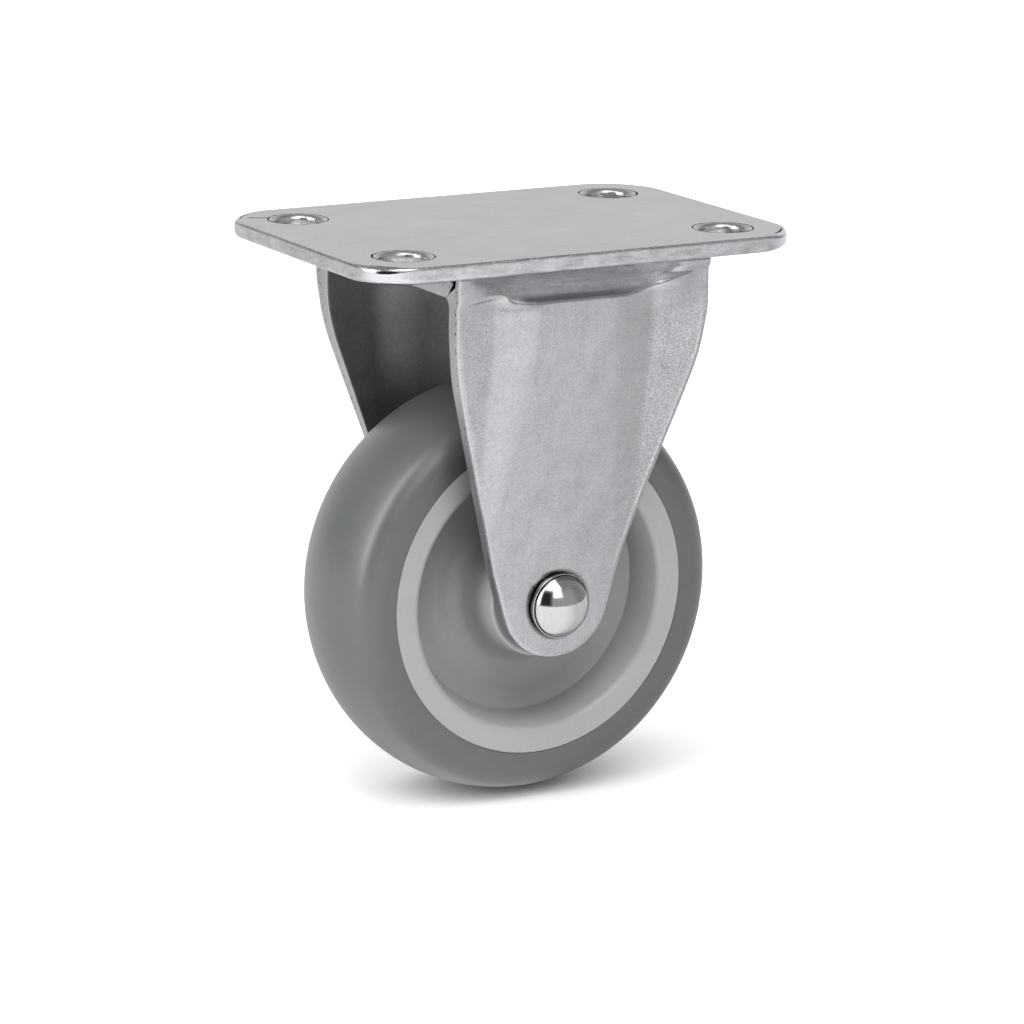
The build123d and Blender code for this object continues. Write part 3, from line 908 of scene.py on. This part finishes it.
# %% Fork: the face of a leg
SHEET = 3.0
LEG_TOP = 25.6
PANEL_TOP = 27.8
PANEL_LEFT = -16.6
PANEL_RIGHT = 13.2
LEFT_FLANK = math.tan(math.radians(25))
RIGHT_FLANK = math.tan(math.radians(23))
SHOULDER_BLEND = 1.25
FOOT_BLEND = 0.55
HOLLOW_BLENDS = (1.9, 1.2)
HOLLOW_DEPTH = 0.8
HOLLOW_TOP = -15.0
LEG_BEND_Z = AXLE_Z + 47.8
LEG_BEND_RADIUS = 40
SEAT_BEND_Z = AXLE_Z + 8.3
SEAT_BEND_RADIUS = 12
BELOW_Z = -90
FADE_Z = AXLE_Z + 8.8
RIGHT_FLARE = 0.115
RIGHT_MARGIN = 12.5
LEFT_FLARE = 0.07
LEFT_MARGIN = -16.5
FLARE_BLEND = 2.0
FLARE_SPAN = (-58, -26)
LOBE = 1.3
LOBE_START, LOBE_X, LOBE_END = 8.0, 16.0, 24.0
LOBE_SPAN = (TOP_ZONE - 1.5, -8.0)


def by_height(corners):
    """A distance that depends on the height alone, through corners given as (distance, z, radius)."""
    path = rounded([*corners, (corners[-1][0], 0, 0)])
    return lambda z: np.interp(z, path[:, 1], path[:, 0])


def lean(top):
    """Distance from the middle plane of a face that leans in from top and stands upright at the axle."""
    seat = LEG_SEAT + top - LEG_TOP
    return by_height([(seat, BELOW_Z, 0), (seat, SEAT_BEND_Z, SEAT_BEND_RADIUS),
                      (top, LEG_BEND_Z, LEG_BEND_RADIUS)])


def panel_line():
    """Distance of the panel's face, which meets the leg's own face at the fade's height."""
    foot = np.interp(FADE_Z, (SEAT_BEND_Z, LEG_BEND_Z), (LEG_SEAT, LEG_TOP))
    low = foot - (PANEL_TOP - foot) * (FADE_Z - BELOW_Z) / (LEG_BEND_Z - FADE_Z)
    return by_height([(low, BELOW_Z, 0), (PANEL_TOP, LEG_BEND_Z, LEG_BEND_RADIUS)])


outer_lean = lean(LEG_TOP)
inner_lean = lean(LEG_TOP - SHEET)
panel_lean = panel_line()


def soft_min(a, b, blend):
    near = np.maximum(blend - np.abs(a - b), 0) / blend
    return np.minimum(a, b) - near ** 2 * blend / 4


def soft_max(a, b, blend):
    return -soft_min(-a, -b, blend)


def panel_height(x, z, shoulder=SHOULDER_BLEND, foot=FOOT_BLEND):
    """How far the panel stands out of the margins."""
    height = panel_lean(z) - outer_lean(z)
    left = (x - PANEL_LEFT) * LEFT_FLANK
    right_side = (PANEL_RIGHT - x) * RIGHT_FLANK
    raised = soft_min(soft_min(left, right_side, shoulder), height, shoulder)
    return soft_max(raised, np.zeros_like(raised), foot) - foot / 4 * (np.abs(raised) < 0)


def leg_face(x, z):
    """The outside of a leg: the lean, the panel, the flared margins and the lobe at its top right."""
    flare = (RIGHT_FLARE * soft_max(x - RIGHT_MARGIN, 0 * x, FLARE_BLEND)
             + LEFT_FLARE * soft_max(LEFT_MARGIN - x, 0 * x, FLARE_BLEND))
    lobe = LOBE * ramp(x, LOBE_START, LOBE_X) * (1 - ramp(x, LOBE_X, LOBE_END)) * ramp(z, *LOBE_SPAN)
    return outer_lean(z) + panel_height(x, z) + flare * ramp(z, *FLARE_SPAN) + lobe


def leg_back(x, z):
    """The inside of the leg, with the softer hollow behind the panel."""
    hollow = panel_height(x, z, *HOLLOW_BLENDS) * HOLLOW_DEPTH
    return inner_lean(z) + hollow * (1 - ramp(z, HOLLOW_TOP, TOP_ZONE))


# %% [markdown]
# Under the plate the sheet folds over into the web. The squeeze of the fold leaves a bead along the top of
# the leg and a shadowed hollow under it, which ends in a crisp shelf where the panel starts. At its right
# end the shelf climbs towards the plate, and a soft crease runs from there to the edge. The path below is
# drawn for all columns of the mesh at once, with its corners moving from column to column.

# %% Fork: bead, hollow and notch under the plate
PLATE_UNDERSIDE = -PLATE_THICKNESS
WEB_TOP = -4.4
WEB_LOW = WEB_TOP - SHEET
WEB_HALF = 21.5
WEB_HALF_LOW = 20.4
BEAD_OUT = 26.85
BEAD_Z = -4.0
BEAD_HALF_HEIGHT = 0.8
SQUEEZE = 0.25
SQUEEZE_START = 12
HOLLOW_LOW = 25.1
HOLLOW_HIGH = 23.9
SHELF_Z = -8.45
SHELF_OUT = 26.15
SHELF_CLIMB = 2.6
SHELF_RISE = 0.5
NOTCH_OUT = 22.9
NOTCH_Z = -4.2


def soft_path(corners, setbacks, steps, spans):
    """Rows of points along paths that share their corners' order, one path for each column."""
    rows = [corners[0]]
    for index in range(1, len(corners) - 1):
        before, here, after = corners[index - 1:index + 2]
        length_in = np.linalg.norm(here - before, axis=1, keepdims=True)
        length_out = np.linalg.norm(after - here, axis=1, keepdims=True)
        reach = np.minimum(setbacks[index], 0.45 * np.minimum(length_in, length_out))
        start = here + (before - here) * reach / length_in
        end = here + (after - here) * reach / length_out
        last = rows[-1]
        for t in np.linspace(0, 1, spans[index - 1] + 2)[1:-1]:
            rows.append(last + (start - last) * t)
        for t in np.linspace(0, 1, steps):
            rows.append((1 - t) ** 2 * start + 2 * t * (1 - t) * here + t ** 2 * end)
    last = rows[-1]
    for t in np.linspace(0, 1, spans[-1] + 2)[1:]:
        rows.append(last + (corners[-1] - last) * t)
    return np.array(rows)


def shelf_height(x):
    """The shelf climbs at its right end, and rises and falls a little at its left."""
    left_rise = ramp(-x, 9, 18) - ramp(-x, 18, 23)
    return SHELF_Z + SHELF_CLIMB * ramp(x, 6, 22) ** 1.3 + SHELF_RISE * left_rise


def fold_path(x):
    """The outside of the fold at x: panel, shelf, hollow or bead, notch and the start of the web."""
    left_end = 1 - ramp(x, -25, -11)
    right_end = ramp(x, 10.0, 20.5)
    ends = left_end + right_end
    shelf = shelf_height(x)
    bead = BEAD_OUT - 0.25 * left_end + 0.35 * right_end
    high = HOLLOW_HIGH + (bead - HOLLOW_HIGH) * ends
    corners = [
        (leg_face(x, TOP_ZONE), TOP_ZONE),
        (leg_face(x, shelf), shelf),
        (SHELF_OUT + 0.40 * left_end + 0.75 * right_end, shelf + 1.0 - 0.3 * ends),
        (HOLLOW_LOW + (bead - HOLLOW_LOW) * ends, -5.0 + 0.2 * ends),
        (high, -3.5),
        (high - 0.45, PLATE_UNDERSIDE),
        (high - 0.55 - 1.0 * ends, PLATE_UNDERSIDE),
        (NOTCH_OUT + 1.7 * ends, NOTCH_Z - 1.1 * ends),
        (NOTCH_OUT - 0.4 + 0.9 * ends, WEB_TOP),
        (WEB_HALF, WEB_TOP)]
    corners = [np.stack([out + 0 * x, z + 0 * x], 1) for out, z in corners]
    crisp = (0.40 + 0.6 * ends)[:, None]
    setbacks = (0, crisp, 0.8, 1.2, 0.7, 0.4, 0.3, 0.5, 0.4, 0)
    return soft_path(corners, setbacks, 7, (5, 1, 3, 1, 0, 0, 1, 1, 1))


# %% [markdown]
# Small accidents of pressing are what make the sheet believable: the crease at the shelf's high end, a pinch
# at the panel's other top corner, and a slight waviness of the whole face.

# %% Fork: creases
CREASES = (
    ((13.0, -11.4), (23.0, -9.6), 1.3, 0.16),
    ((-21.0, -9.8), (-15.5, -10.2), 0.9, 0.05),
    ((-16.0, -10.4), (-9.0, -9.8), 0.9, 0.10))


def ridge(x, z, start, end, width, height):
    """A soft ridge along a line between two points, or a groove if its height is negative."""
    start = np.array(start)
    line = np.array(end) - start
    t = ((x - start[0]) * line[0] + (z - start[1]) * line[1]) / (line @ line)
    distance = np.hypot(x - start[0] - t * line[0], z - start[1] - t * line[1])
    fade = ramp(t, -0.25, 0.2) * (1 - ramp(t, 0.85, 1.25))
    return height * np.exp(-(distance / width) ** 2) * fade


def accidents(x, z):
    wave = 0.03 * np.sin(x * 0.45 + 0.6) * np.sin(z * 0.21 + 0.4) + 0.02 * np.sin(x * 0.9 - z * 0.33)
    return sum(ridge(x, z, *crease) for crease in CREASES) + wave * ramp(-z, 3, 6)


# %% [markdown]
# Now the rings. Each has the outer skin from left to right, a quarter turn over the rolled edge, the cut
# face, a small inner edge, and the inner skin back again. Five marks tell the finish where it is: the
# inside, the depth into the cut faces, the stretched margins, the fold and the lip beside the cut.

# %% Fork: rings round the sheet
COLUMNS = 93
ROLL_STEPS = 6
TIP_ROLL = 0.8
ENTRY_ROLL = 0.55
EXIT_ROLL = 1.15
FOLD_ROLL = 0.3
INNER_EDGE = 0.18
TIP_WELD = 0.03
STRAIGHT_OUT = (1.0, 0.0)
WEB_STEP = 1.0
PAD_RADIUS = 17.0
PAD_RISE = 1.5
PAD_DRAFT = 1.5
WELD_CIRCLE = 11.0
WELD_RADIUS = 2.2
WELD_DEPTH = 0.5
WELD_BEVEL = 0.6
FADE_ROWS = 7
CALM_ROWS = 12
LIP_WIDTH = 0.3
ACROSS = np.linspace(-1, 1, COLUMNS)


def web_surface(x, y, level, pressed):
    """The web's height, with the raised pad and, on the underside, the dimples of its spot welds."""
    distance = np.hypot(x, y)
    inner_foot = PAD_RADIUS - PAD_DRAFT * pressed
    height = level + PAD_RISE * (1 - ramp(distance, inner_foot, inner_foot + PAD_DRAFT))
    if pressed:
        for angle in np.radians((45, 135, 225, 315)):
            spot = np.hypot(x - WELD_CIRCLE * math.cos(angle), y - WELD_CIRCLE * math.sin(angle))
            height = height + WELD_DEPTH * (1 - ramp(spot, WELD_RADIUS - WELD_BEVEL, WELD_RADIUS))
    return height


def path_normals(points):
    """Outward directions of one column's path, given as (out, z) rows."""
    tangent = np.gradient(points, axis=0)
    normal = np.stack([tangent[:, 1], -tangent[:, 0]], 1)
    return normal / np.maximum(np.linalg.norm(normal, axis=1, keepdims=True), 1e-9)


def rolled_edge(skin, roll, outward, turns, way):
    """Columns of points that turn over the edge of a skin. The way is -1 if they sink below it."""
    normal = path_normals(skin[:, 1:])
    normal[0] = STRAIGHT_OUT
    columns = []
    for turn in turns:
        reach = (roll * math.sin(turn))[:, None] * outward
        drop = (roll * (1 - math.cos(turn)))[:, None] * normal * way
        columns.append(skin + np.stack([reach[:, 0], drop[:, 0], reach[:, 1] + drop[:, 1]], 1))
    return columns


def half_fork(side):
    """Rings from the tip of one leg to the middle of the web. Side is -1 for the front leg."""
    leg_rows = len(OUTLINE)
    fold = fold_path(ACROSS * (FORK_HALF - FOLD_ROLL) * -side)
    fold_rows = len(fold)
    web_rows = math.ceil(WEB_HALF / WEB_STEP)
    web_out = WEB_HALF * (1 - np.arange(1, web_rows + 1) / web_rows)
    outline = np.concatenate([OUTLINE, np.tile((FORK_HALF, 0, 1, 0), (fold_rows - 1 + web_rows, 1))])
    count = len(outline)
    rolls = {}
    for end, size in ((side, ENTRY_ROLL), (-side, EXIT_ROLL)):
        on_leg = TIP_ROLL + (size - TIP_ROLL) * ramp(OUTLINE[:, 1], TOE_Z - TOE_RADIUS, TOE_Z + 4)
        to_fold = ramp(np.arange(leg_rows), leg_rows - FADE_ROWS, leg_rows - 1)
        rolls[end] = np.full(count, FOLD_ROLL)
        rolls[end][:leg_rows] = on_leg + (FOLD_ROLL - on_leg) * to_fold

    x_edge, z_edge, nx, nz = outline.T[:, :, None]
    roll = rolls[-1][:, None] + (rolls[1] - rolls[-1])[:, None] * (ACROSS + 1) / 2
    outer_x = ACROSS * (x_edge - nx * roll)
    inner_x = ACROSS * (x_edge - nx * INNER_EDGE)
    outer_z = z_edge - nz * roll
    inner_z = z_edge - nz * INNER_EDGE + 0 * ACROSS
    out = leg_face(outer_x * -side, outer_z)
    inside = leg_back(inner_x * -side, inner_z)

    bend = np.s_[leg_rows:leg_rows + fold_rows - 1]
    inner_top = LEG_TOP - SHEET
    inner_path = rounded([(inner_top, TOP_ZONE, 0), (inner_top, WEB_LOW, 1.6), (WEB_HALF_LOW, WEB_LOW, 0)])
    lengths = np.concatenate([[0], np.cumsum(np.linalg.norm(np.diff(inner_path, axis=0), axis=1))])
    squeezed = np.exp(-((fold[:, :, 1] - BEAD_Z) / BEAD_HALF_HEIGHT) ** 2) * SQUEEZE
    out[bend], outer_z[bend] = np.moveaxis(fold[1:], 2, 0)
    outer_x[bend] -= side * squeezed[1:] * ramp(outer_x[bend] * -side, SQUEEZE_START, FORK_HALF)
    place = lengths[-1] * np.arange(1, fold_rows)[:, None] / (fold_rows - 1)
    inside[bend] = np.interp(place, lengths, inner_path[:, 0])
    inner_z[bend] = np.interp(place, lengths, inner_path[:, 1])

    web = np.s_[leg_rows + fold_rows - 1:]
    out[web] = web_out[:, None]
    inside[web] = out[web] * WEB_HALF_LOW / WEB_HALF
    outer_z[web] = web_surface(outer_x[web], out[web], WEB_TOP, 0)
    inner_z[web] = web_surface(inner_x[web], inside[web], WEB_LOW, 1)
    wavy = np.s_[:leg_rows + fold_rows - CALM_ROWS]
    out[wavy] += accidents(outer_x[wavy] * -side, outer_z[wavy])
    skin = np.stack([outer_x, out, outer_z], 2)
    back = np.stack([inner_x, inside, inner_z], 2)

    turns = np.linspace(0, math.pi / 2, ROLL_STEPS + 1)[1:]
    small_turns = np.linspace(math.pi / 2, 0, 3)[:-1]
    edges = []
    for column, way in ((-1, 1), (0, -1)):
        outward = outline[:, 2:] * (way, 1)
        strips = rolled_edge(skin[:, column], rolls[way], outward, turns, -1)
        strips += rolled_edge(back[:, column], np.full(count, INNER_EDGE), outward, small_turns, 1)
        edges.append(np.stack(strips, 1))
    right_edge, left_edge = edges
    ring = np.concatenate([skin, right_edge, back[:, ::-1], left_edge[:, ::-1]], 1)
    ring[:, :, 1] *= side
    return ring


rings = np.concatenate([half_fork(-1), half_fork(1)[-2::-1]])
rows, around = rings.shape[:2]
edge_points = ROLL_STEPS + 2
outer = np.s_[:, :COLUMNS]
right_cut = np.s_[:, COLUMNS:COLUMNS + edge_points]
inner = np.s_[:, COLUMNS + edge_points:2 * COLUMNS + edge_points]
left_cut = np.s_[:, 2 * COLUMNS + edge_points:]
leg_x, leg_y, leg_z = np.moveaxis(rings[outer], 2, 0)
turned_x = leg_x * -np.sign(leg_y)
reach = np.concatenate([OUTLINE[:, 0], np.full(rows, FORK_HALF)])[:rows]
reach = np.minimum(reach, reach[::-1])[:, None]
depths = -TIP_ROLL * (1 - np.cos(np.linspace(0, math.pi / 2, ROLL_STEPS + 1)[1:]))
depths = np.array([*depths, -SHEET + 0.1, -SHEET])
marks = {name: np.zeros((rows, around), np.float32) for name in ("inside", "rim", "peel", "fold", "lip")}
marks["inside"][inner] = 1
marks["rim"][outer] = reach - np.abs(leg_x)
marks["rim"][inner] = FAR_FROM_RIM
marks["rim"][right_cut] = depths
marks["rim"][left_cut] = depths[::-1]
marks["peel"][outer] = (ramp(turned_x, 10, 16) + 0.5 * ramp(-turned_x, 15, 20)) * ramp(-leg_z, 9, 14)
lip = np.exp(-((marks["rim"][outer] - EXIT_ROLL) / LIP_WIDTH) ** 2)
marks["lip"][outer] = lip * ramp(turned_x, 2, 5) * ramp(leg_z, -62, -52) * ramp(-leg_z, 9, 12)
# The fold mark: the hollow under the plate, where the finish paints shade.
marks["fold"][outer] = ramp(leg_z, -8.6, -7.4) * ramp(turned_x, -20, -10) * (1 - ramp(turned_x, 15, 21))
index = np.arange(rows * around).reshape(rows, around)
after = np.roll(index, -1, 1)
faces = np.stack([index[:-1], after[:-1], after[1:], index[1:]], -1).reshape(-1, 4)
mesh = bpy.data.meshes.new("fork")
mesh.from_pydata((rings.reshape(-1, 3) * MM).tolist(), [], faces.tolist())
for name, values in marks.items():
    mesh.attributes.new(name, "FLOAT", "POINT").data.foreach_set("value", values.ravel())
mesh.shade_smooth()
mesh.materials.append(fork_zinc)
tips = (*index[0].tolist(), *index[-1].tolist())
fork = placed("zinc_fork", mesh, tips, TIP_WELD)
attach(fork, "frame")
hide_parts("fork")
